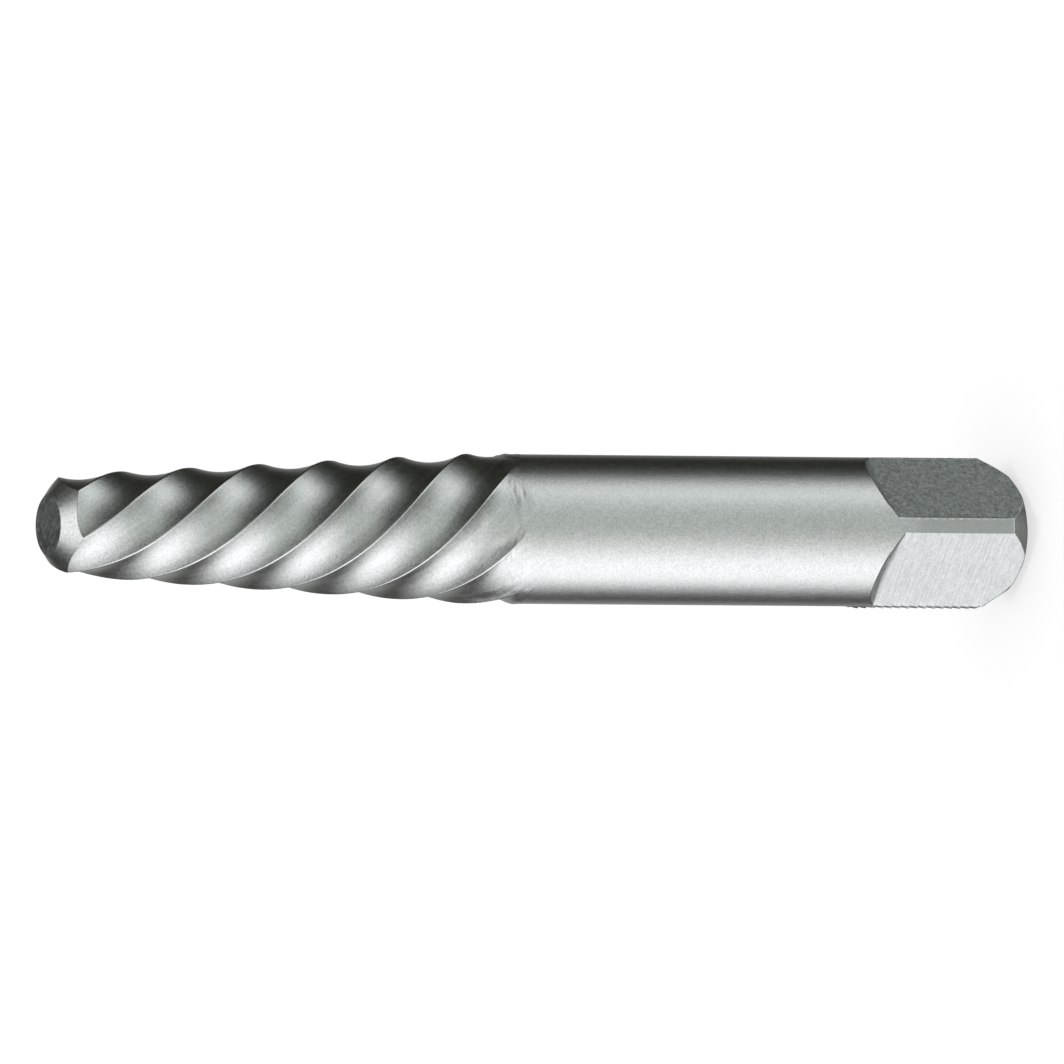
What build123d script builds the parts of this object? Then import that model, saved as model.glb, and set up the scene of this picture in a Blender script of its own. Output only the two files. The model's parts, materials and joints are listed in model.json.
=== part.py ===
from build123d import *
import math
import os

# A spiral screw extractor: one piece of hardened steel, standing on its drive end with the tip up.
# The origin is the centre of the drive end face, +Z runs along the axis to the tip, and the flats of
# the square face +X, -X, +Y and -Y. All lengths are in millimetres and all angles in degrees.

# Turned blank
overall_length = 82.5
shank_diameter = 11.6
taper_length = 35.0            # from the tip face to where the cone meets the shank
cone_tip_diameter = 7.75       # the cone, carried on to the plane of the tip face
tip_face_diameter = 4.6
tip_chamfer_angle = 52.0       # between the chamfer and the axis
end_face_diameter = 6.9
end_chamfer_diameter = 9.4     # where the flat inner chamfer meets the steep outer one
end_chamfer_angle = 60.0       # between the inner chamfer and the axis
corner_chamfer_angle = 32.0    # between the outer chamfer and the axis

# Square drive
square_across_flats = 9.0
square_length = 12.2           # from the end face to the foot of the sloping shoulder
shoulder_angle = 39.0          # between the shoulder and the axis

# Spiral flutes
flute_count = 6
spiral_lead = 35.8             # one left-hand turn
ridge_angle_at_tip = 41.0      # from +X, in the plane of the tip face
tip_flute_depth = 0.39
shank_flute_depth = 0.58
ridge_land_width = 0.18        # what is left of the cone between two flutes
flute_length = 39.2            # from the tip face to where the middle of a flute has faded out
runout_length = 3.8            # of that, the stretch in which the floor rises to the shank's surface

# How finely the spiral is followed, and how far a tool passes what it cuts
twist_step = 9.0
tool_overrun = 0.6

shank_radius = shank_diameter / 2
cone_tip_radius = cone_tip_diameter / 2
tip_face_radius = tip_face_diameter / 2
end_face_radius = end_face_diameter / 2
end_chamfer_radius = end_chamfer_diameter / 2
half_across_flats = square_across_flats / 2

# The tip chamfer meets the cone where their two slopes cross
cone_slope = (shank_radius - cone_tip_radius) / taper_length
tip_chamfer_slope = math.tan(math.radians(tip_chamfer_angle))
tip_chamfer_length = (cone_tip_radius - tip_face_radius) / (tip_chamfer_slope - cone_slope)

# The end has two chamfers, one after the other
end_chamfer_length = (end_chamfer_radius - end_face_radius) / math.tan(math.radians(end_chamfer_angle))
corner_chamfer_rise = (shank_radius - end_chamfer_radius) / math.tan(math.radians(corner_chamfer_angle))
both_chamfers_length = end_chamfer_length + corner_chamfer_rise


def crest_radius(from_tip):
    # the turned surface: the cone, then the shank
    return min(cone_tip_radius + cone_slope * from_tip, shank_radius)


def flute_depth(from_tip):
    # deeper where the extractor is thicker, then shallower at an even rate until nothing is cut
    share = from_tip / taper_length
    deep = tip_flute_depth + (shank_flute_depth - tip_flute_depth) * min(share, 1.0)
    return deep * min((flute_length - from_tip) / runout_length, 1.0)


# The side of a flute leaves the ridge at this slope, so a sharp ridge stands this much over its land
half_pitch = math.pi / flute_count
shank_side_slope = 2 * shank_flute_depth / (half_pitch * shank_radius)
ridge_overheight = shank_side_slope * ridge_land_width / 2

# The spiral is followed past both ends of the flutes, until it lies clear of the steel
spiral_start = -tool_overrun
spiral_end = flute_length + 2 * tool_overrun
spiral_length = spiral_end - spiral_start
station_count = math.ceil(spiral_length / spiral_lead * 360 / twist_step)

# What the flute cutters leave standing: a left-hand twisted prism with gently crowned sides
with BuildPart() as spiral_core:
    for station in range(station_count + 1):
        from_tip = spiral_end - spiral_length * station / station_count
        ridge_radius = crest_radius(from_tip) + ridge_overheight
        floor_radius = crest_radius(from_tip) - flute_depth(from_tip)
        turn = ridge_angle_at_tip + 360 * from_tip / spiral_lead
        with BuildSketch(Plane.XY.offset(overall_length - from_tip)):
            with BuildLine():
                for flute in range(flute_count):
                    first = turn + 360 * flute / flute_count
                    middle = first + 180 / flute_count
                    last = first + 360 / flute_count
                    ThreePointArc(
                        Vector(ridge_radius, 0).rotate(Axis.Z, first),
                        Vector(floor_radius, 0).rotate(Axis.Z, middle),
                        Vector(ridge_radius, 0).rotate(Axis.Z, last),
                    )
            make_face()
    loft()
    with BuildSketch(Plane.XY.offset(-tool_overrun)):
        Circle(shank_radius + tool_overrun)
    extrude(amount=overall_length - flute_length)

# What a milling cutter takes off to make one flat, with its sloping shoulder
shoulder_rise = shank_radius + tool_overrun - half_across_flats
shoulder_run = shoulder_rise / math.tan(math.radians(shoulder_angle))
with BuildPart() as flat_cut:
    with BuildSketch(Plane.XZ):
        with BuildLine():
            Polyline(
                (half_across_flats, -tool_overrun),
                (half_across_flats, square_length),
                (half_across_flats + shoulder_rise, square_length + shoulder_run),
                (half_across_flats + shoulder_rise, -tool_overrun),
                close=True,
            )
        make_face()
    extrude(amount=shank_radius + tool_overrun, both=True)

# The extractor: the turned blank, fluted, with its square milled last
with BuildPart() as screw_extractor:
    with BuildSketch(Plane.XZ):
        with BuildLine():
            Polyline(
                (0, 0),
                (end_face_radius, 0),
                (end_chamfer_radius, end_chamfer_length),
                (shank_radius, both_chamfers_length),
                (shank_radius, overall_length - taper_length),
                (crest_radius(tip_chamfer_length), overall_length - tip_chamfer_length),
                (tip_face_radius, overall_length),
                (0, overall_length),
                close=True,
            )
        make_face()
    revolve(axis=Axis.Z)
    add(spiral_core.part, mode=Mode.INTERSECT)
    with PolarLocations(0, 4):
        add(flat_cut.part, mode=Mode.SUBTRACT)

screw_extractor.part.label = "screw_extractor"
os.makedirs("parts", exist_ok=True)
export_step(screw_extractor.part, "parts/screw_extractor.step")
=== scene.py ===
import json
import math

import bmesh
import bpy
from mathutils import Matrix, Vector, noise

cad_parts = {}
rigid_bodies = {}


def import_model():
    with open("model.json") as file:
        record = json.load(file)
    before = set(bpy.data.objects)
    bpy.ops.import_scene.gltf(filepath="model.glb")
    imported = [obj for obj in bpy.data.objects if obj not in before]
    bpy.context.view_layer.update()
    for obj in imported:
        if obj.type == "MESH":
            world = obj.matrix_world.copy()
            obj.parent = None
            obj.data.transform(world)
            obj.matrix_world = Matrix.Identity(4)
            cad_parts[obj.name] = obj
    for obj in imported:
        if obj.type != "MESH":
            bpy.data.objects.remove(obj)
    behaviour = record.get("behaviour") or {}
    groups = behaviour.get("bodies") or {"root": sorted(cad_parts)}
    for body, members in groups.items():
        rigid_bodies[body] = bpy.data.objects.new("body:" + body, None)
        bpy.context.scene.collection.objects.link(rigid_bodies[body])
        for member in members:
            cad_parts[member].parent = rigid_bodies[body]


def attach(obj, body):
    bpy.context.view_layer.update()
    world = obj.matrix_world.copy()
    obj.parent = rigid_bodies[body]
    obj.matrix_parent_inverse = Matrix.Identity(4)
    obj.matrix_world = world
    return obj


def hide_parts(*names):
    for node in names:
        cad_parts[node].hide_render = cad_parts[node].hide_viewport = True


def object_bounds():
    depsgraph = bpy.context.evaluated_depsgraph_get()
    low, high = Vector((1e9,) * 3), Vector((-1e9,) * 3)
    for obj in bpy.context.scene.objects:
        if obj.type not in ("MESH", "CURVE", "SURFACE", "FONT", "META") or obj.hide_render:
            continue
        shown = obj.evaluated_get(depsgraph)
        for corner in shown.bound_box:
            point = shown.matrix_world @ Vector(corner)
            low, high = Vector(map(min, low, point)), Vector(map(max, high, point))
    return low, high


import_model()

cadLow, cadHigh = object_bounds()
print("frame loaded, CAD box", tuple(cadLow), tuple(cadHigh))

# The tool stands on its square end with the tip up. Its own sizes are in millimetres and degrees,
# measured from the drive end (height) or from the tip face (depth), and the mesh is scaled to metres last.
mm = 0.001
toolLength = (cadHigh.z - cadLow.z) / mm

# The pairs of values are fades: fadeIn takes where one starts and how long it is, and fadeOut takes where one
# ends and how long it is.
blank = {
    "shankRadius": 5.8,
    "taperLength": 35.0,
    "taperSoftness": 0.01,
    "coneTipRadius": 3.875,
    "tipEase": 0.14,              # how much the cone is worn down at its tip
    "easeLength": 7.0,
    "tipWear": 0.13,              # and more on the side of one flute
    "wornPlace": 2.45,
    "wornAcross": (0.88, 0.8),
    "wornAlong": (7.5, 3.0),
    "tipFaceRadius": 2.3,
    "tipChamfer": 50.0,
    "chamferSoftness": 0.03,
    "rimGap": 0.001,              # an edge this near to the plane of the tip face lies on its rim
    "endFaceRadius": 3.45,
    "innerChamfer": 60.0,         # the flat chamfer next to the end face
    "chamferMeets": 4.7,          # radius where it turns into the steep one
    "outerChamfer": 32.0,
    "endCorners": (1.11, 1.0, 1.08, 0.88),   # how high the chamfers reach at each corner, from 45 degrees on
    "cornerChange": (30.0, 30.0),            # past a corner, how the reach turns into the next corner's
}
flutes = {
    "count": 6,
    "lead": 35.8,                 # one left-hand turn
    "startAngle": 41.0,
    "tipDepth": 0.39,
    "shankDepth": 0.58,
    "land": 0.13,                 # width of the cone left on a ridge
    "landSoftness": 0.03,
    "landWaver": 0.009,           # how unevenly the lands are worn
    "waverAlong": (33.0, 3.0),
    "endDepth": 39.5,             # where a flute stops, at its lower ridge
    "endSlope": 1.0,              # it stops sooner towards its upper ridge
    "steepness": 0.55,            # how much faster the cutter lifts beside the lower ridge
    "steepAcross": 0.4,           # share of the flute's width on which it does
    "lip": 0.9,                   # length of the last lip
    "ripplePitch": 0.34,          # chatter of the cutter where it lifts
    "rippleDepth": 0.006,
    "rippleFan": 1.1,
    "rippleAcross": (0.2, 0.3),
    "rippleStrength": (0.7, 1.2),   # its steady part and its uneven part
    "tearDepth": 0.022,           # and steel torn up there
    "roughIn": (0.0, 0.7),
    "roughOut": (3.0, 1.6),
    "chipReach": 0.8,             # how far from its end a flute's edge is chipped
    "stop": 40.6,                 # past every flute's end
    "rubbedBand": 0.035,          # how far below a land's surface the steel is still rubbed bright
    "rubbedAlong": (38.3, 1.5),
    "rubbedGap": 0.02,            # how far the tip chamfer has to lie outside a rubbed land
    "streakAcross": 9.0,          # how fast the streaks of the steel change across a flute and along it
    "streakAlong": 0.1,
}
# How each flute ends: how much later than the others, the length over which the cutter lifts, the share of
# the depth that is left at the last lip, and how high the steel is torn up there
fluteEnds = (
    {"later": 0.2, "ramp": 4.0, "lip": 0.2, "torn": 0.0},
    {"later": -0.2, "ramp": 3.6, "lip": 0.15, "torn": 0.0},
    {"later": 0.6, "ramp": 2.5, "lip": 0.6, "torn": 0.1},
    {"later": 0.0, "ramp": 3.8, "lip": 0.08, "torn": 0.0},
    {"later": -0.1, "ramp": 3.2, "lip": 0.12, "torn": 0.0},
    {"later": 0.2, "ramp": 2.0, "lip": 0.38, "torn": 0.16},
)
# How fast each uneven pattern changes across a flute and along it, and where in the noise it lies
patterns = {
    "waver": {"across": 9.0, "along": 1.3, "drift": 0.4, "start": 0.0},
    "ripple": {"across": 5.0, "along": 2.0, "drift": 0.0, "start": 0.0},
    "tear": {"across": 11.0, "along": 3.1, "drift": 0.0, "start": 4.7},
    "chip": {"across": 6.0, "along": 3.7, "drift": 0.0, "start": 1.3},
}
square = {
    "halfAcross": 4.5,
    "footHeight": 12.2,
    "footLean": (0.0, 0.2, 0.1, 0.5),   # how much lower each flat's foot is at its second edge
    "shoulderAngle": 39.0,
    "hollow": 2.2,
    "landClimb": 0.1,             # how far the rings lie from the foot on a land, below it and then above
    "cornerClimb": 0.02,
    "edgeBevel": 0.05,
    "bevelAngle": 15.0,           # edges sharper than this are bevelled
    "bevelBelow": 14.0,
    "passPitch": 0.37,            # between two milling marks
    "markDepth": 0.0025,
    "markFade": 3.0,              # degrees over which the marks fade beside an edge
    "rubbedMean": 0.55,           # how bright the first edge of a flat is rubbed, with more at each pass
    "rubbedPass": 0.35,
    "rubbedSpots": 0.7,
    "spotRate": 1.5,
    "rubbedWidth": 1.5,           # in degrees
    "rubbedFrom": (1.8, 0.4),
    "dullness": 0.6,              # of the lands at its corners
    "dullFrom": (0.0, 0.4),       # above the end chamfer
    "dullFade": 3.0,
}
burrs = {
    # at the first and second edge of each flat, from the +X flat on
    "stand": (0.07, 0.03, 0.10, 0.03, 0.10, 0.15, 0.13, 0.02),
    "low": (2.3, 0.6),
    "high": (12.0, 12.0, 12.1, 12.0, 12.0, 14.3, 12.6, 12.0),   # one runs on over the shank
    "highFade": 1.2,
    "tooth": 0.74,
    "toothShare": 0.75,
    "toothShift": 0.3,            # from one edge to the next
    "uneven": 0.2,
    "unevenRate": 1.1,
    "unevenStart": 3.1,
    "foot": 0.075,                # half the width it stands on
}
grid = {
    "columns": 192,
    "fluteCrowding": 0.75,        # how much closer the columns lie at a ridge
    "flatCrowding": 0.6,
    "landColumns": 12,
    "squareShift": 22,            # columns between a ridge at the run-out and the corner before it
    "faceMargin": 0.15,
    "chamferRings": 3,
    "lowRings": 14,               # from the end chamfers, which differ in height, to the first level ring
    "overChamfer": 0.12,
    "ringsPerPass": 6,
    "shoulderRings": 6,
    "overShoulderRings": 26,
    "levelHeight": 14.4,          # from here on the rings are level again
    "shankRings": 12,
    "runoutStep": 0.08,
    "runoutDepth": 35.0,
    "fluteStep": 0.25,
    "fluteTop": 2.0,
    # the rings beside the edge of the tip chamfer, and the depths between which that edge lies
    "nearEdge": (0.6, 0.35, 0.2, 0.1, 0.05, 0.02, 0.0, -0.02, -0.05, -0.1),
    "edgeLimit": 1.9,
    "edgeSearch": (0.5, 2.0),
    "searchSteps": 30,
    "tipRings": 6,
    "weld": 0.0005,
}


def smoothStep(share):
    share = min(max(share, 0.0), 1.0)
    return share * share * (3 - 2 * share)


def fadeIn(value, start, span):
    return smoothStep((value - start) / span)


def fadeOut(value, end, span):
    return smoothStep((end - value) / span)


def softMin(first, second, softness):
    # the smaller radius, with the corner between the two rounded
    nearness = max(softness - abs(first - second), 0.0) / softness
    return min(first, second) - nearness * nearness * softness / 4


def uneven(pattern, place, depth):
    # a value that wanders between about -1 and 1, the same in each run
    chosen = patterns[pattern]
    third = chosen["start"] + chosen["drift"] * depth
    return noise.noise(Vector((place * chosen["across"], depth * chosen["along"], third)))


def crestRadius(depth):
    slope = (blank["shankRadius"] - blank["coneTipRadius"]) / blank["taperLength"]
    cone = blank["coneTipRadius"] + slope * depth
    worn = blank["tipEase"] * smoothStep(1 - depth / blank["easeLength"])
    return softMin(cone, blank["shankRadius"], blank["taperSoftness"]) - worn


def fluteRadius(depth, turn):
    # turn runs from 0 to 1 between two ridges; the side of the tool there is a shallow arc
    halfPitch = math.pi / flutes["count"]
    share = min(depth / blank["taperLength"], 1.0)
    deep = flutes["tipDepth"] + (flutes["shankDepth"] - flutes["tipDepth"]) * share
    sideSlope = 2 * flutes["shankDepth"] / (halfPitch * blank["shankRadius"])
    ridge = crestRadius(depth) + sideSlope * flutes["land"] / 2
    floor = crestRadius(depth) - deep
    centre = (ridge**2 - floor**2) / (2 * (ridge * math.cos(halfPitch) - floor))
    angle = (turn - 0.5) * 2 * halfPitch
    bend = floor - centre
    return centre * math.cos(angle) + math.copysign(
        math.sqrt(bend**2 - (centre * math.sin(angle)) ** 2), bend
    )


def toFluteEnd(depth, place):
    return flutes["endDepth"] - flutes["endSlope"] * (place % 1) + fluteEnds[int(place)]["later"] - depth


def cutShare(depth, place):
    # 1 along a flute; the cutter lifts slowly, then leaves a shallow lip
    end = fluteEnds[int(place)]
    left = max(toFluteEnd(depth, place), 0)
    if left < flutes["lip"]:
        return end["lip"] * smoothStep(left / flutes["lip"])
    steep = flutes["steepness"] * smoothStep(1 - (place % 1) / flutes["steepAcross"])
    return end["lip"] + (1 - end["lip"]) * min((left - flutes["lip"]) / (end["ramp"] * (1 - steep)), 1)


def chamferRadius(depth):
    return blank["tipFaceRadius"] + depth * math.tan(math.radians(blank["tipChamfer"]))


def landRadius(depth, place):
    # the turned surface, a little uneven on the lands between the flutes
    fade = fadeOut(depth, *flutes["waverAlong"])
    return crestRadius(depth) + (uneven("waver", place, depth) - 0.5) * flutes["landWaver"] * fade


def groundRadius(depth, place):
    # place counts the flutes round the tool, and turn runs from 0 to 1 across one of them
    fluted = softMin(fluteRadius(depth, place % 1), landRadius(depth, place), flutes["landSoftness"])
    across = fadeOut(abs(place - blank["wornPlace"]), *blank["wornAcross"])
    return fluted - blank["tipWear"] * across * fadeOut(depth, *blank["wornAlong"])


def bodyRadius(depth, place):
    turn = place % 1
    fluted = groundRadius(depth, place)
    share = cutShare(depth, place)
    if share < 1:
        crest = crestRadius(depth)
        left = toFluteEnd(depth, place)
        steady, wandering = flutes["rippleStrength"]
        wave = math.sin(math.tau * (depth + flutes["rippleFan"] * turn) / flutes["ripplePitch"])
        wave *= flutes["rippleDepth"] * fadeIn(turn, *flutes["rippleAcross"])
        wave *= steady + wandering * uneven("ripple", place, depth)
        tear = flutes["tearDepth"] * uneven("tear", place, depth)
        rough = (wave + tear) * fadeIn(left, *flutes["roughIn"]) * fadeOut(left, *flutes["roughOut"])
        cut = (crest - fluted) * share + rough
        chip = fluteEnds[int(place)]["torn"] * max(uneven("chip", place, depth), 0)
        fluted = min(crest - cut, crest) + chip * smoothStep(1 - abs(left) / flutes["chipReach"])
    return softMin(fluted, chamferRadius(depth), blank["chamferSoftness"])


# Where a column of the mesh stands: crowded at the ridges above, and at the corners of the square below
perFlute = grid["columns"] // flutes["count"]
perFlat = grid["columns"] // 4
cornerAngle = math.degrees(math.acos(square["halfAcross"] / blank["shankRadius"]))
landHalf = 45 - cornerAngle
angleSlack = 0.01


def flutePlace(column):
    # which flute a column is in, and how far across it
    share = (column % perFlute) / perFlute
    return column // perFlute + share - grid["fluteCrowding"] * math.sin(math.tau * share) / math.tau


def fluteAngle(column, depth):
    return flutes["startAngle"] + 360 * depth / flutes["lead"] + 360 / flutes["count"] * flutePlace(column)


def squareAngle(column):
    # degrees past a corner, with the land of the corner first, then the flat, then the next half land
    place = column + grid["squareShift"]
    quarter, step = divmod(place, perFlat)
    halfLand = grid["landColumns"] // 2
    if step <= halfLand:
        past = landHalf * step / halfLand
    elif step >= perFlat - halfLand:
        past = 90 - landHalf * (perFlat - step) / halfLand
    else:
        share = (step - halfLand) / (perFlat - 2 * halfLand)
        share -= grid["flatCrowding"] * math.sin(math.tau * share) / math.tau
        past = landHalf + 2 * cornerAngle * share
    return 45 + 360 + 90 * quarter + past


def fromFlat(angle):
    # the angle to the middle of the nearest flat
    return (angle + 45) % 90 - 45


def squareRadius(angle):
    across = square["halfAcross"] / math.cos(math.radians(fromFlat(angle)))
    return min(across, blank["shankRadius"])


def onFlat(angle):
    return abs(fromFlat(angle)) < cornerAngle - angleSlack


def atCorner(angle):
    return abs(abs(fromFlat(angle)) - cornerAngle) < angleSlack


def footHeight(angle):
    # the milled flats don't all stop square to the axis
    flat, past = divmod(angle + cornerAngle, 90)
    if past > 2 * cornerAngle:
        share = 1 - (past - 2 * cornerAngle) / (2 * landHalf)
    else:
        share = 0.5 + 0.5 * math.tan(math.radians(past - cornerAngle)) / math.tan(math.radians(cornerAngle))
    return square["footHeight"] - square["footLean"][int(flat) % 4] * share


def shoulderTop(angle):
    reach = blank["shankRadius"] * math.cos(math.radians(fromFlat(angle))) - square["halfAcross"]
    return footHeight(angle) + max(reach, 0) / math.tan(math.radians(square["shoulderAngle"]))


def endHeight(radius, angle):
    # how far the two chamfers of the drive end have risen at a radius
    corner, past = divmod((angle - 45) % 360, 90)
    near, far = blank["endCorners"][int(corner)], blank["endCorners"][int(corner + 1) % 4]
    reach = near + (far - near) * fadeIn(past, *blank["cornerChange"])
    inner = min(radius, blank["chamferMeets"]) - blank["endFaceRadius"]
    outer = max(radius - blank["chamferMeets"], 0)
    inner /= math.tan(math.radians(blank["innerChamfer"]))
    return reach * (inner + outer / math.tan(math.radians(blank["outerChamfer"])))


def spot(angle, radius, height):
    turn = math.radians(angle)
    return Vector((radius * math.cos(turn), radius * math.sin(turn), height))


def growRing(bm, rim, place):
    # pulls the rim out into a new ring of faces and puts each new corner in its place
    column = bm.verts.layers.int["column"]
    grown = bmesh.ops.extrude_edge_only(bm, edges=rim)["geom"]
    corners = {v for v in grown if isinstance(v, bmesh.types.BMVert)}
    for corner in corners:
        corner.co = place(corner[column])
    return [e for e in grown if isinstance(e, bmesh.types.BMEdge) and corners.issuperset(e.verts)]


def growEndChamfer(bm, rim):
    meets = blank["chamferMeets"]
    rings = grid["chamferRings"]
    for start, end in ((blank["endFaceRadius"], meets), (meets, blank["shankRadius"])):
        for ring in range(1, rings + 1):
            def place(column, share=ring / rings):
                angle = squareAngle(column)
                low, high = min(start, squareRadius(angle)), min(end, squareRadius(angle))
                radius = low + share * (high - low)
                return spot(angle, radius, endHeight(radius, angle))
            rim = growRing(bm, rim, place)
    return rim


def flatSurface(angle, height):
    # the milled flat with its marks, or the land of a corner
    radius = squareRadius(angle)
    if onFlat(angle):
        mark = square["markDepth"] * math.sin(math.tau * height / square["passPitch"])
        radius -= mark * fadeOut(abs(fromFlat(angle)), cornerAngle, square["markFade"])
    return spot(angle, radius, height)


def growSquare(bm, rim):
    level = endHeight(blank["shankRadius"], 45) + grid["overChamfer"]
    rings = grid["lowRings"]
    for ring in range(1, rings + 1):
        def place(column, share=ring / rings):
            angle = squareAngle(column)
            start = endHeight(squareRadius(angle), angle)
            return flatSurface(angle, start + (level - start) * share)
        rim = growRing(bm, rim, place)
    rings = round((square["footHeight"] - level) / square["passPitch"] * grid["ringsPerPass"])
    for ring in range(1, rings + 1):
        def place(column, share=ring / rings):
            angle = squareAngle(column)
            foot = footHeight(angle)
            if not onFlat(angle) and not atCorner(angle):
                foot -= square["landClimb"]
            return flatSurface(angle, level + (foot - level) * share)
        rim = growRing(bm, rim, place)
    return rim


def growShoulder(bm, rim):
    # a hollow slope that leaves the flat gently and steepens
    rings = grid["shoulderRings"]
    for ring in range(1, rings + 1):
        def place(column, share=ring / rings):
            angle = squareAngle(column)
            foot = footHeight(angle)
            if atCorner(angle):
                return spot(angle, blank["shankRadius"], foot + square["cornerClimb"] * share)
            if not onFlat(angle):
                return spot(angle, blank["shankRadius"], foot + square["landClimb"] * (2 * share - 1))
            turn = math.cos(math.radians(fromFlat(angle)))
            reach = blank["shankRadius"] * turn - square["halfAcross"]
            across = square["halfAcross"] + reach * share ** square["hollow"]
            return spot(angle, across / turn, foot + (shoulderTop(angle) - foot) * share)
        rim = growRing(bm, rim, place)
    return rim


def growShank(bm, rim):
    level = grid["levelHeight"]
    rings = grid["overShoulderRings"]
    for ring in range(1, rings + 1):
        def place(column, share=ring / rings):
            angle = squareAngle(column)
            start = shoulderTop(angle)
            if not onFlat(angle) and not atCorner(angle):
                start += square["landClimb"]
            return spot(angle, blank["shankRadius"], start + (level - start) * share)
        rim = growRing(bm, rim, place)
    top = toolLength - flutes["stop"]
    for ring in range(1, grid["shankRings"] + 1):
        def place(column, share=ring / grid["shankRings"]):
            start, end = squareAngle(column), fluteAngle(column, flutes["stop"])
            angle = start + (end - start) * smoothStep(share)
            return spot(angle, blank["shankRadius"], level + (top - level) * share)
        rim = growRing(bm, rim, place)
    return rim


def bodySpot(column, depth):
    return spot(fluteAngle(column, depth), bodyRadius(depth, flutePlace(column)), toolLength - depth)


def growFlutes(bm, rim):
    # down the depth scale from the run-out to just short of the tip chamfer, with finer steps in the run-out
    stretches = (
        (flutes["stop"], grid["runoutDepth"], grid["runoutStep"]),
        (grid["runoutDepth"], grid["fluteTop"], grid["fluteStep"]),
    )
    for start, end, step in stretches:
        rings = round((start - end) / step)
        for ring in range(1, rings + 1):
            depth = start + (end - start) * ring / rings
            rim = growRing(bm, rim, lambda column: bodySpot(column, depth))
    return rim


def chamferDepth(column):
    # where the fluted cone meets the tip chamfer, found by closing in on it
    low, high = grid["edgeSearch"]
    for _ in range(grid["searchSteps"]):
        middle = (low + high) / 2
        body = groundRadius(middle, flutePlace(column))
        low, high = (middle, high) if chamferRadius(middle) < body else (low, middle)
    return low


def growTip(bm, rim):
    meets = [chamferDepth(column) for column in range(grid["columns"])]
    for ahead in grid["nearEdge"]:
        def place(column):
            return bodySpot(column, min(meets[column] + ahead, grid["edgeLimit"]))
        rim = growRing(bm, rim, place)
    rings = grid["tipRings"]
    for ring in range(1, rings + 1):
        def place(column, share=ring / rings):
            edge = meets[column] + grid["nearEdge"][-1]
            depth = edge * (1 - share)
            return spot(fluteAngle(column, edge), chamferRadius(depth), toolLength - depth)
        rim = growRing(bm, rim, place)
    return rim


def closeFace(bm, rim):
    # a flat face, with a ring inside its edge to keep the shading flat
    face = bmesh.ops.contextual_create(bm, geom=rim)["faces"][0]
    bmesh.ops.inset_individual(
        bm, faces=[face], thickness=grid["faceMargin"], depth=0, use_even_offset=True
    )


def rubbedOnFlutes(depth, place):
    # how brightly the land between two flutes is rubbed
    if chamferRadius(depth) <= crestRadius(depth) + flutes["rubbedGap"]:
        return 0
    below = crestRadius(depth) - fluteRadius(depth, place % 1)
    return smoothStep(1 - below / flutes["rubbedBand"]) * fadeOut(depth, *flutes["rubbedAlong"])


def rubbedOnSquare(height, angle):
    # patches along the first edge of each flat
    edge = abs(fromFlat(angle) + cornerAngle)
    patch = square["rubbedMean"] + square["rubbedPass"] * math.sin(math.tau * height / square["passPitch"])
    patch += square["rubbedSpots"] * noise.noise(Vector((angle, 0, height * square["spotRate"])))
    return patch * smoothStep(1 - edge / square["rubbedWidth"]) * fadeIn(height, *square["rubbedFrom"])


def dullOnSquare(height, angle):
    # the lands at the corners of the square are duller than the shank
    if onFlat(angle):
        return 0
    overEnd = height - endHeight(blank["shankRadius"], angle)
    fades = fadeIn(overEnd, *square["dullFrom"]) * fadeOut(height, square["footHeight"], square["dullFade"])
    return square["dullness"] * fades


def markSurface(bm, column):
    # tells the steel where it is rubbed bright, where it is dull, and which way its streaks run on the flutes
    wear = bm.verts.layers.float.new("wear")
    dull = bm.verts.layers.float.new("dull")
    along = bm.verts.layers.float_vector.new("along")
    for corner in bm.verts:
        height = corner.co.z
        depth = toolLength - height
        if depth < flutes["stop"]:
            place = flutePlace(corner[column])
            corner[along] = (place * flutes["streakAcross"], depth * flutes["streakAlong"], 0)
            corner[wear] = rubbedOnFlutes(depth, place)
        elif height < square["footHeight"]:
            angle = squareAngle(corner[column])
            corner[wear] = rubbedOnSquare(height, angle)
            corner[dull] = dullOnSquare(height, angle)


def makeExtractor():
    bm = bmesh.new()
    column = bm.verts.layers.int.new("column")
    first = bmesh.ops.create_circle(bm, segments=grid["columns"], radius=blank["endFaceRadius"])["verts"]
    first.sort(key=lambda v: math.atan2(v.co.y, v.co.x) % math.tau)
    for number, corner in enumerate(first):
        corner[column] = number
        corner.co = spot(squareAngle(number), blank["endFaceRadius"], 0)
    bottomRim = list(bm.edges)
    rim = growEndChamfer(bm, bottomRim)
    rim = growSquare(bm, rim)
    rim = growShoulder(bm, rim)
    rim = growShank(bm, rim)
    rim = growFlutes(bm, rim)
    tipRim = growTip(bm, rim)
    markSurface(bm, column)
    closeFace(bm, bottomRim)
    closeFace(bm, tipRim)
    bm.verts.layers.int.remove(bm.verts.layers.int["column"])
    bmesh.ops.remove_doubles(bm, verts=bm.verts, dist=grid["weld"])
    bmesh.ops.recalc_face_normals(bm, faces=bm.faces)
    return bm


def sharp(edge):
    return edge.is_manifold and edge.calc_face_angle() > math.radians(square["bevelAngle"])


def bevelSquare(bm):
    # the edges of the square and of its shoulders, and the rim of the tip face
    edges = [e for e in bm.edges if max(v.co.z for v in e.verts) < square["bevelBelow"] and sharp(e)]
    edges += [e for e in bm.edges if min(v.co.z for v in e.verts) > toolLength - blank["rimGap"] and sharp(e)]
    bmesh.ops.bevel(
        bm, geom=edges, offset=square["edgeBevel"], offset_type="OFFSET", segments=2, profile=0.5,
        affect="EDGES", material=-1, clamp_overlap=False,
    )


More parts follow.
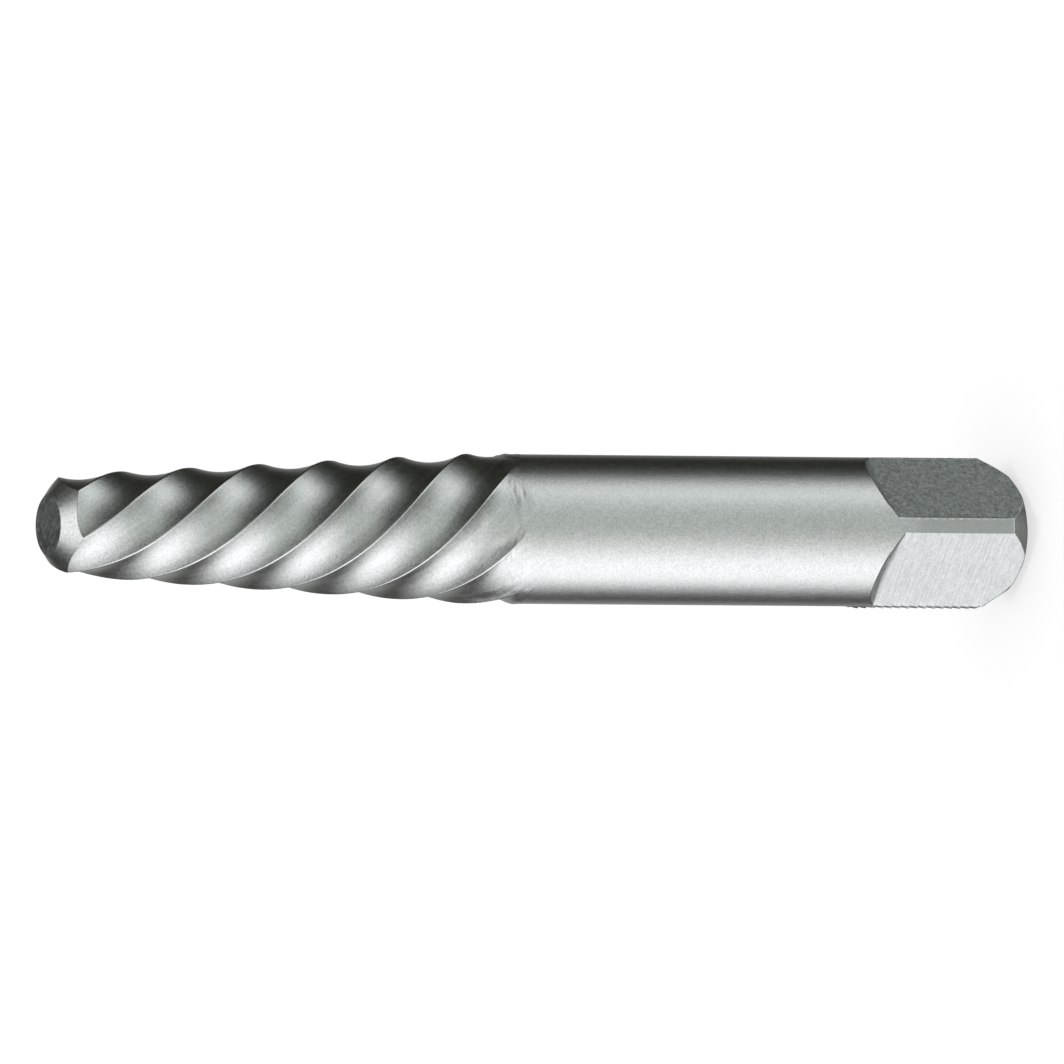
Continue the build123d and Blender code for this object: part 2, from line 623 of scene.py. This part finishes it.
def raiseBurrs(bm):
    # what the cutter dragged over the edges of the flats: saw teeth, one for every two passes
    for corner in bm.verts:
        height, radius = corner.co.z, corner.co.xy.length
        angle = math.degrees(math.atan2(corner.co.y, corner.co.x))
        off = math.radians(abs(abs(fromFlat(angle)) - cornerAngle)) * radius
        if off < burrs["foot"] and radius > blank["shankRadius"] - burrs["foot"]:
            number = 2 * int((angle + 45) % 360 // 90) + (fromFlat(angle) > 0)
            fades = fadeIn(height, *burrs["low"]) * fadeOut(height, burrs["high"][number], burrs["highFade"])
            tooth = 1 - (height / burrs["tooth"] + number * burrs["toothShift"]) % 1.0
            where = Vector((burrs["unevenStart"] + number, 0, height * burrs["unevenRate"]))
            stand = burrs["stand"][number] * fades * (1 + burrs["uneven"] * noise.noise(where))
            stand *= 1 - burrs["toothShare"] + burrs["toothShare"] * tooth
            corner.co += spot(angle, stand * (1 - (off / burrs["foot"]) ** 2), 0)


# The places of the finishes in the list of materials, and how the faces that get them are told apart
finishNumbers = {"flatsAcrossY": 1, "tipFace": 2, "endFace": 3, "flatsAcrossX": 4, "tipChamfer": 5}
sorting = {
    "faceGap": 0.01,              # an end face lies no further than this from its plane
    "chamferReach": 2.0,          # how near to the tip its chamfer is
    "chamferFacing": 0.6,         # how far up the chamfer faces, at least
    "endFacing": -0.75,           # what faces down more than this is the end chamfer
    "flatFacing": 0.72,           # how squarely a flat or its shoulder faces an axis, at least
}


def chooseFinish(bm):
    # every other face keeps the first finish, the blasted one
    for face in bm.faces:
        middle = face.calc_center_median()
        angle = math.degrees(math.atan2(middle.y, middle.x))
        facing = face.normal
        if middle.z > toolLength - sorting["faceGap"]:
            face.material_index = finishNumbers["tipFace"]
        elif middle.z < sorting["faceGap"]:
            face.material_index = finishNumbers["endFace"]
        elif middle.z > toolLength - sorting["chamferReach"] and facing.z > sorting["chamferFacing"]:
            face.material_index = finishNumbers["tipChamfer"]
        elif middle.z < shoulderTop(angle) and onFlat(angle) and facing.z > sorting["endFacing"]:
            if max(abs(facing.x), abs(facing.y)) > sorting["flatFacing"]:
                across = "flatsAcrossY" if abs(facing.y) > abs(facing.x) else "flatsAcrossX"
                face.material_index = finishNumbers[across]


def finishMesh(bm, name, materials):
    for face in bm.faces:
        face.smooth = True
    bmesh.ops.scale(bm, verts=bm.verts, vec=(mm, mm, mm))
    mesh = bpy.data.meshes.new(name)
    bm.to_mesh(mesh)
    bm.free()
    for material in materials:
        mesh.materials.append(material)
    piece = bpy.data.objects.new(name, mesh)
    bpy.context.scene.collection.objects.link(piece)
    return piece


def addNode(tree, kind, **settings):
    node = tree.nodes.new(kind)
    for name, value in settings.items():
        if name in node.inputs:
            node.inputs[name].default_value = value
        else:
            setattr(node, name, value)
    return node


# How each finish looks: the darkest and lightest steel in it, its roughness, and its grain in millimetres
blasted = {
    "dark": (0.40, 0.415, 0.405, 1),
    "light": (0.76, 0.785, 0.775, 1),
    "worn": (0.58, 0.60, 0.59, 1),
    "roughness": (0.28, 0.40),
    "wornRoughness": 0.26,
    "grain": 0.17,
    "grainHeight": 0.0140,
    "mottle": 0.7,
    "mottleShare": 0.15,
    "streakShare": 0.32,          # of the streaks that run along the flutes
    "turned": (0.30, 0.38),       # roughness of the tip chamfer
}
milled = {
    "roughness": (0.42, 0.54),
    "line": 0.15,
    "lineLength": 1.3,
    "lineHeight": 0.0040,
    "mottle": 0.45,
    "mottleShare": 0.4,           # of what the lines leave; the rest is speckle
}
sawn = {
    "roughness": (0.36, 0.50),
    "streak": 0.16,
    "streakLength": 1.6,
    "streakHeight": 0.0030,
    "mottle": 0.35,
    "mottleShare": 0.5,
}
linedFlats = {"dark": (0.41, 0.43, 0.425, 1), "light": (0.80, 0.83, 0.82, 1), "lineShare": 0.4}
speckledFlats = {"dark": (0.285, 0.315, 0.303, 1), "light": (0.93, 0.99, 0.965, 1), "lineShare": 0.1}
tipFace = {"dark": (0.10, 0.11, 0.108, 1), "light": (0.50, 0.53, 0.52, 1), "turn": 50}
endFace = {"dark": (0.48, 0.49, 0.48, 1), "light": (0.72, 0.72, 0.71, 1), "turn": 20}
noiseDetail = {"fine": 2.0, "mottled": 3.0, "streaked": 4.0}
noiseRoughness = 0.6


def addNoise(tree, where, detail):
    grain = addNode(tree, "ShaderNodeTexNoise", Scale=1.0, Detail=detail, Roughness=noiseRoughness)
    tree.links.new(where, grain.inputs["Vector"])
    return grain.outputs["Fac"]


def noiseOver(tree, size, detail="fine", stretch=(1, 1, 1), turn=0):
    # a noise whose grains are size millimetres wide, drawn out by stretch along each axis and turned about Z
    place = addNode(tree, "ShaderNodeTexCoord")
    pull = addNode(tree, "ShaderNodeMapping")
    pull.inputs["Scale"].default_value = [1 / (size * mm * share) for share in stretch]
    pull.inputs["Rotation"].default_value[2] = math.radians(turn)
    tree.links.new(place.outputs["Object"], pull.inputs["Vector"])
    return addNoise(tree, pull.outputs[0], noiseDetail[detail])


def spread(tree, source, low, high, start=0.3, end=0.7):
    reach = addNode(tree, "ShaderNodeMapRange")
    for name, value in (("From Min", start), ("From Max", end), ("To Min", low), ("To Max", high)):
        reach.inputs[name].default_value = value
    tree.links.new(source, reach.inputs["Value"])
    return reach.outputs[0]


def blendColours(tree, share, first, second):
    mix = addNode(tree, "ShaderNodeMix", data_type="RGBA")
    tree.links.new(share, mix.inputs["Factor"])
    for socket, value in ((mix.inputs[6], first), (mix.inputs[7], second)):
        if isinstance(value, tuple):
            socket.default_value = value
        else:
            tree.links.new(value, socket)
    return mix.outputs[2]


def addUp(tree, first, second, weight):
    # first plus weight times second
    node = addNode(tree, "ShaderNodeMath", operation="MULTIPLY_ADD")
    tree.links.new(second, node.inputs[0])
    node.inputs[1].default_value = weight
    tree.links.new(first, node.inputs[2])
    return node.outputs[0]


def addBump(tree, shader, height, rise):
    bump = addNode(tree, "ShaderNodeBump")
    bump.inputs["Strength"].default_value = 1.0
    bump.inputs["Distance"].default_value = rise * mm
    tree.links.new(height, bump.inputs["Height"])
    tree.links.new(bump.outputs["Normal"], shader.inputs["Normal"])


def newSteel(name):
    material = bpy.data.materials.new(name)
    material.use_nodes = True
    shader = material.node_tree.nodes["Principled BSDF"]
    shader.inputs["Metallic"].default_value = 1.0
    return material, material.node_tree, shader


def makeBlasted(name, roughness):
    material, tree, shader = newSteel(name)
    grain = noiseOver(tree, blasted["grain"])
    mottle = noiseOver(tree, blasted["mottle"], "mottled")
    along = addNode(tree, "ShaderNodeAttribute", attribute_name="along")
    streaks = addNoise(tree, along.outputs["Vector"], noiseDetail["streaked"])
    share = blasted["mottleShare"] + blasted["streakShare"]
    both = addUp(tree, spread(tree, grain, 0, 1 - share), spread(tree, mottle, 0, 1), blasted["mottleShare"])
    both = addUp(tree, both, spread(tree, streaks, 0, 1), blasted["streakShare"])
    wear = addNode(tree, "ShaderNodeAttribute", attribute_name="wear")
    dull = addNode(tree, "ShaderNodeAttribute", attribute_name="dull")
    colour = blendColours(tree, both, blasted["dark"], blasted["light"])
    colour = blendColours(tree, wear.outputs["Fac"], colour, blasted["worn"])
    colour = blendColours(tree, dull.outputs["Fac"], colour, blasted["dark"])
    tree.links.new(colour, shader.inputs["Base Color"])
    rubbed = addNode(tree, "ShaderNodeMix", data_type="FLOAT")
    tree.links.new(wear.outputs["Fac"], rubbed.inputs[0])
    tree.links.new(spread(tree, both, *roughness, 0, 1), rubbed.inputs[2])
    rubbed.inputs[3].default_value = blasted["wornRoughness"]
    tree.links.new(rubbed.outputs[0], shader.inputs["Roughness"])
    addBump(tree, shader, grain, blasted["grainHeight"])
    return material


def finishFace(tree, shader, both, look, roughness, rise):
    # colour, roughness and relief that all follow the same pattern
    tree.links.new(blendColours(tree, both, look["dark"], look["light"]), shader.inputs["Base Color"])
    tree.links.new(spread(tree, both, *roughness, 0, 1), shader.inputs["Roughness"])
    addBump(tree, shader, both, rise)


def makeMilled(name, look):
    # fine lines from the cutter's passes over a speckled ground
    material, tree, shader = newSteel(name)
    long = milled["lineLength"] / milled["line"]
    lines = noiseOver(tree, milled["line"], stretch=(long, long, 1))
    speckle = noiseOver(tree, blasted["grain"])
    mottle = noiseOver(tree, milled["mottle"], "mottled")
    ground, mottled = 1 - look["lineShare"], milled["mottleShare"]
    both = spread(tree, lines, 0, look["lineShare"])
    both = addUp(tree, both, spread(tree, speckle, 0, 1), ground * (1 - mottled))
    both = addUp(tree, both, spread(tree, mottle, 0, 1), ground * mottled)
    finishFace(tree, shader, both, look, milled["roughness"], milled["lineHeight"])
    return material


def makeSawn(name, look):
    # the two end faces, cut across, with fine parallel streaks
    material, tree, shader = newSteel(name)
    long = sawn["streakLength"] / sawn["streak"]
    streaks = noiseOver(tree, sawn["streak"], "mottled", (long, 1, 1), look["turn"])
    mottle = noiseOver(tree, sawn["mottle"], "mottled")
    share = sawn["mottleShare"]
    both = addUp(tree, spread(tree, streaks, 0, 1 - share), spread(tree, mottle, 0, 1), share)
    finishFace(tree, shader, both, look, sawn["roughness"], sawn["streakHeight"])
    return material


bm = makeExtractor()
print("rings grown:", len(bm.verts), "corners")
bevelSquare(bm)
chooseFinish(bm)
raiseBurrs(bm)
finishes = [
    makeBlasted("blastedSteel", blasted["roughness"]),
    makeMilled("linedSteel", linedFlats),
    makeSawn("tipSteel", tipFace),
    makeSawn("endSteel", endFace),
    makeMilled("speckledSteel", speckledFlats),
    makeBlasted("turnedSteel", blasted["turned"]),
]
extractor = finishMesh(bm, "extractor_body", finishes)
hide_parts("screw_extractor")
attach(extractor, "root")
print("body:", len(extractor.data.polygons), "faces")

# The camera looks at the standing tool from its side and a little above, and is rolled so that the tip
# points left
camera = {
    "turn": -50.3,           # round the tool from +X, in degrees
    "rise": 25.6,
    "roll": 0.48,
    "distance": 3.7,
    "frameWidth": 0.08246,   # what the frame spans at the tool
    "sensor": 36.0,
    "lookHeight": 0.04111,
    "lookAside": -0.000222,
    "nearest": 0.01,
    "farthest": 30.0,
}
facing = Vector((math.cos(math.radians(camera["turn"])), math.sin(math.radians(camera["turn"])), 0))
aside = Vector((-facing.y, facing.x, 0))


def makeCamera():
    rise, roll = math.radians(camera["rise"]), math.radians(camera["roll"])
    back = facing * math.cos(rise) + Vector((0, 0, math.sin(rise)))
    right = facing * math.sin(rise) - Vector((0, 0, math.cos(rise)))
    rolledRight = right * math.cos(roll) + aside * math.sin(roll)
    rolledUp = aside * math.cos(roll) - right * math.sin(roll)
    target = Vector((0, 0, camera["lookHeight"])) + aside * camera["lookAside"]
    data = bpy.data.cameras.new("camera")
    data.sensor_width = camera["sensor"]
    data.lens = camera["sensor"] * camera["distance"] / camera["frameWidth"]
    data.clip_start = camera["nearest"]
    data.clip_end = camera["farthest"]
    eye = bpy.data.objects.new("camera", data)
    turned = Matrix((rolledRight, rolledUp, back)).transposed().to_4x4()
    eye.matrix_world = Matrix.Translation(target + back * camera["distance"]) @ turned
    bpy.context.scene.collection.objects.link(eye)
    bpy.context.scene.camera = eye


makeCamera()

studio = {
    "floorRadius": 1.5,
    "floorSegments": 96,
    "floorDrop": 0.00002,         # how far the floor lies below the tool's end face
    "floorColour": (0.92, 0.92, 0.92, 1),
    "floorRoughness": 0.9,
    "floorGlow": 0.62,            # share of the floor that the camera sees as plain white
    "skyLight": 0.75,
    "lampHeight": 0.8,
    "lampSize": 1.0,
    "lampPower": 4.7,
    "domeRadius": 0.6,
    "domeSegments": (48, 24),
    "domeHeight": 0.041,
    "shade": (0.024, 0.025, 0.019),   # what the dome sends back where no panel hangs
}
# The panels in the dome. Each hangs some degrees round the tool from the camera, and has half its width, the
# width over which it fades at its sides, a brightness and a tint. In height, in degrees above the tool, it is
# dark outside the two outer values and fully lit between the two inner ones.
panels = (
    {
        "turn": -62, "half": 35, "fade": 24, "heights": (-64, -22, -10, 18),
        "glow": 1.96, "tint": (1.0, 0.99, 1.01),
    },
    {
        "turn": 6, "half": 32, "fade": 14, "heights": (-78, -14, -2, 18),
        "glow": 0.79, "tint": (0.97, 1.02, 0.99),
    },
    {
        "turn": 61, "half": 20, "fade": 17, "heights": (-90, -32, -25, 2),
        "glow": 1.36, "tint": (0.98, 1.01, 1.01),
    },
    {
        "turn": 185, "half": 30, "fade": 14, "heights": (-38, -25, -10, 10),
        "glow": 0.50, "tint": (1.0, 1.0, 1.0),
    },
)
# Two round panels, one high over the tool and one straight below it
roundPanels = (
    {"turn": -10, "rise": 72, "half": 36, "fade": 12, "glow": 1.2},
    {"turn": 0, "rise": -90, "half": 16, "fade": 12, "glow": 0.36},
)


def addObject(name, bm, material):
    mesh = bpy.data.meshes.new(name)
    bm.to_mesh(mesh)
    bm.free()
    mesh.materials.append(material)
    thing = bpy.data.objects.new(name, mesh)
    bpy.context.scene.collection.objects.link(thing)
    return thing


def seenDirectly(tree):
    # 1 for rays from the camera, a shiny surface or glass, 0 for light that falls on matt things
    rays = addNode(tree, "ShaderNodeLightPath")
    seen = addNode(tree, "ShaderNodeMath", operation="MAXIMUM")
    seenToo = addNode(tree, "ShaderNodeMath", operation="MAXIMUM")
    tree.links.new(rays.outputs["Is Camera Ray"], seen.inputs[0])
    tree.links.new(rays.outputs["Is Glossy Ray"], seen.inputs[1])
    tree.links.new(seen.outputs[0], seenToo.inputs[0])
    tree.links.new(rays.outputs["Is Transmission Ray"], seenToo.inputs[1])
    return seenToo.outputs[0]


def makeFloor():
    material = bpy.data.materials.new("paleFloor")
    material.use_nodes = True
    tree = material.node_tree
    shader = tree.nodes["Principled BSDF"]
    shader.inputs["Base Color"].default_value = studio["floorColour"]
    shader.inputs["Roughness"].default_value = studio["floorRoughness"]
    white = addNode(tree, "ShaderNodeEmission", Strength=1.0)
    share = addNode(tree, "ShaderNodeMath", operation="MULTIPLY")
    share.inputs[1].default_value = studio["floorGlow"]
    mix = addNode(tree, "ShaderNodeMixShader")
    tree.links.new(seenDirectly(tree), share.inputs[0])
    tree.links.new(share.outputs[0], mix.inputs[0])
    tree.links.new(shader.outputs[0], mix.inputs[1])
    tree.links.new(white.outputs[0], mix.inputs[2])
    tree.links.new(mix.outputs[0], tree.nodes["Material Output"].inputs["Surface"])
    bm = bmesh.new()
    bmesh.ops.create_circle(
        bm, cap_ends=True, segments=studio["floorSegments"], radius=studio["floorRadius"]
    )
    bmesh.ops.translate(bm, verts=bm.verts, vec=(0, 0, -studio["floorDrop"]))
    floor = addObject("floor", bm, material)
    floor.visible_glossy = False


def lightUp(tree, towards, panel, direction):
    # how strongly a panel shines in each direction
    facingIt = addNode(tree, "ShaderNodeVectorMath", operation="DOT_PRODUCT")
    facingIt.inputs[1].default_value = direction
    off = addNode(tree, "ShaderNodeMath", operation="ARCCOSINE")
    tree.links.new(towards, facingIt.inputs[0])
    tree.links.new(facingIt.outputs["Value"], off.inputs[0])
    edges = [math.radians(panel["half"] + side * panel["fade"]) for side in (1, -1)]
    glow = spread(tree, off.outputs[0], 0, panel["glow"], *edges)
    glow.node.interpolation_type = "SMOOTHSTEP"
    return glow


def layOver(tree, light, tint, below):
    # light times tint, added to what is below
    node = addNode(tree, "ShaderNodeVectorMath", operation="MULTIPLY_ADD")
    for socket, value in zip(node.inputs, (light, tint, below)):
        if isinstance(value, tuple):
            socket.default_value = value
        else:
            tree.links.new(value, socket)
    return node.outputs[0]


def makeDome():
    # only shiny surfaces see the dome
    material = bpy.data.materials.new("domeCloth")
    material.use_nodes = True
    tree = material.node_tree
    tree.nodes.remove(tree.nodes["Principled BSDF"])
    place = addNode(tree, "ShaderNodeTexCoord")
    towards = addNode(tree, "ShaderNodeVectorMath", operation="NORMALIZE")
    flattened = addNode(tree, "ShaderNodeVectorMath", operation="MULTIPLY")
    flattened.inputs[1].default_value = (1, 1, 0)
    level = addNode(tree, "ShaderNodeVectorMath", operation="NORMALIZE")
    parts = addNode(tree, "ShaderNodeSeparateXYZ")
    rise = addNode(tree, "ShaderNodeMath", operation="ARCSINE")
    glow = addNode(tree, "ShaderNodeEmission", Strength=1.0)
    link = tree.links.new
    link(place.outputs["Object"], towards.inputs[0])
    link(towards.outputs[0], flattened.inputs[0])
    link(flattened.outputs[0], level.inputs[0])
    link(towards.outputs[0], parts.inputs[0])
    link(parts.outputs["Z"], rise.inputs[0])
    light = studio["shade"]
    for panel in panels:
        turn = math.radians(panel["turn"])
        lit = lightUp(tree, level.outputs[0], panel, (math.cos(turn), math.sin(turn), 0))
        outerLow, innerLow, innerHigh, outerHigh = [math.radians(height) for height in panel["heights"]]
        for outer, inner in ((outerLow, innerLow), (outerHigh, innerHigh)):
            within = spread(tree, rise.outputs[0], 0, 1, outer, inner)
            within.node.interpolation_type = "SMOOTHSTEP"
            lit = layOver(tree, lit, within, (0, 0, 0))
        light = layOver(tree, lit, panel["tint"], light)
    for panel in roundPanels:
        turn, lift = math.radians(panel["turn"]), math.radians(panel["rise"])
        there = (math.cos(lift) * math.cos(turn), math.cos(lift) * math.sin(turn), math.sin(lift))
        light = layOver(tree, lightUp(tree, towards.outputs[0], panel, there), (1, 1, 1), light)
    link(light, glow.inputs["Color"])
    link(glow.outputs[0], tree.nodes["Material Output"].inputs["Surface"])
    bm = bmesh.new()
    columns, rows = studio["domeSegments"]
    bmesh.ops.create_uvsphere(bm, u_segments=columns, v_segments=rows, radius=studio["domeRadius"])
    dome = addObject("dome", bm, material)
    dome.location.z = studio["domeHeight"]
    dome.rotation_euler.z = math.radians(camera["turn"])
    for ray in ("camera", "diffuse", "transmission", "volume_scatter", "shadow"):
        setattr(dome, "visible_" + ray, False)


def makeLamp():
    data = bpy.data.lights.new("overheadLamp", "AREA")
    data.shape = "SQUARE"
    data.size = studio["lampSize"]
    data.energy = studio["lampPower"]
    lamp = bpy.data.objects.new("overheadLamp", data)
    lamp.location = (0, 0, studio["lampHeight"])
    bpy.context.scene.collection.objects.link(lamp)


def makeSky():
    world = bpy.data.worlds.new("sky")
    world.use_nodes = True
    tree = world.node_tree
    level = addNode(tree, "ShaderNodeMapRange")
    level.inputs["To Min"].default_value = studio["skyLight"]
    level.inputs["To Max"].default_value = 1.0
    tree.links.new(seenDirectly(tree), level.inputs["Value"])
    tree.links.new(level.outputs[0], tree.nodes["Background"].inputs["Strength"])
    tree.nodes["Background"].inputs["Color"].default_value = (1, 1, 1, 1)
    world.cycles.sampling_method = "NONE"
    bpy.context.scene.world = world


makeFloor()
makeDome()
makeLamp()
makeSky()
bpy.context.scene.view_settings.view_transform = "Standard"
print("studio ready")
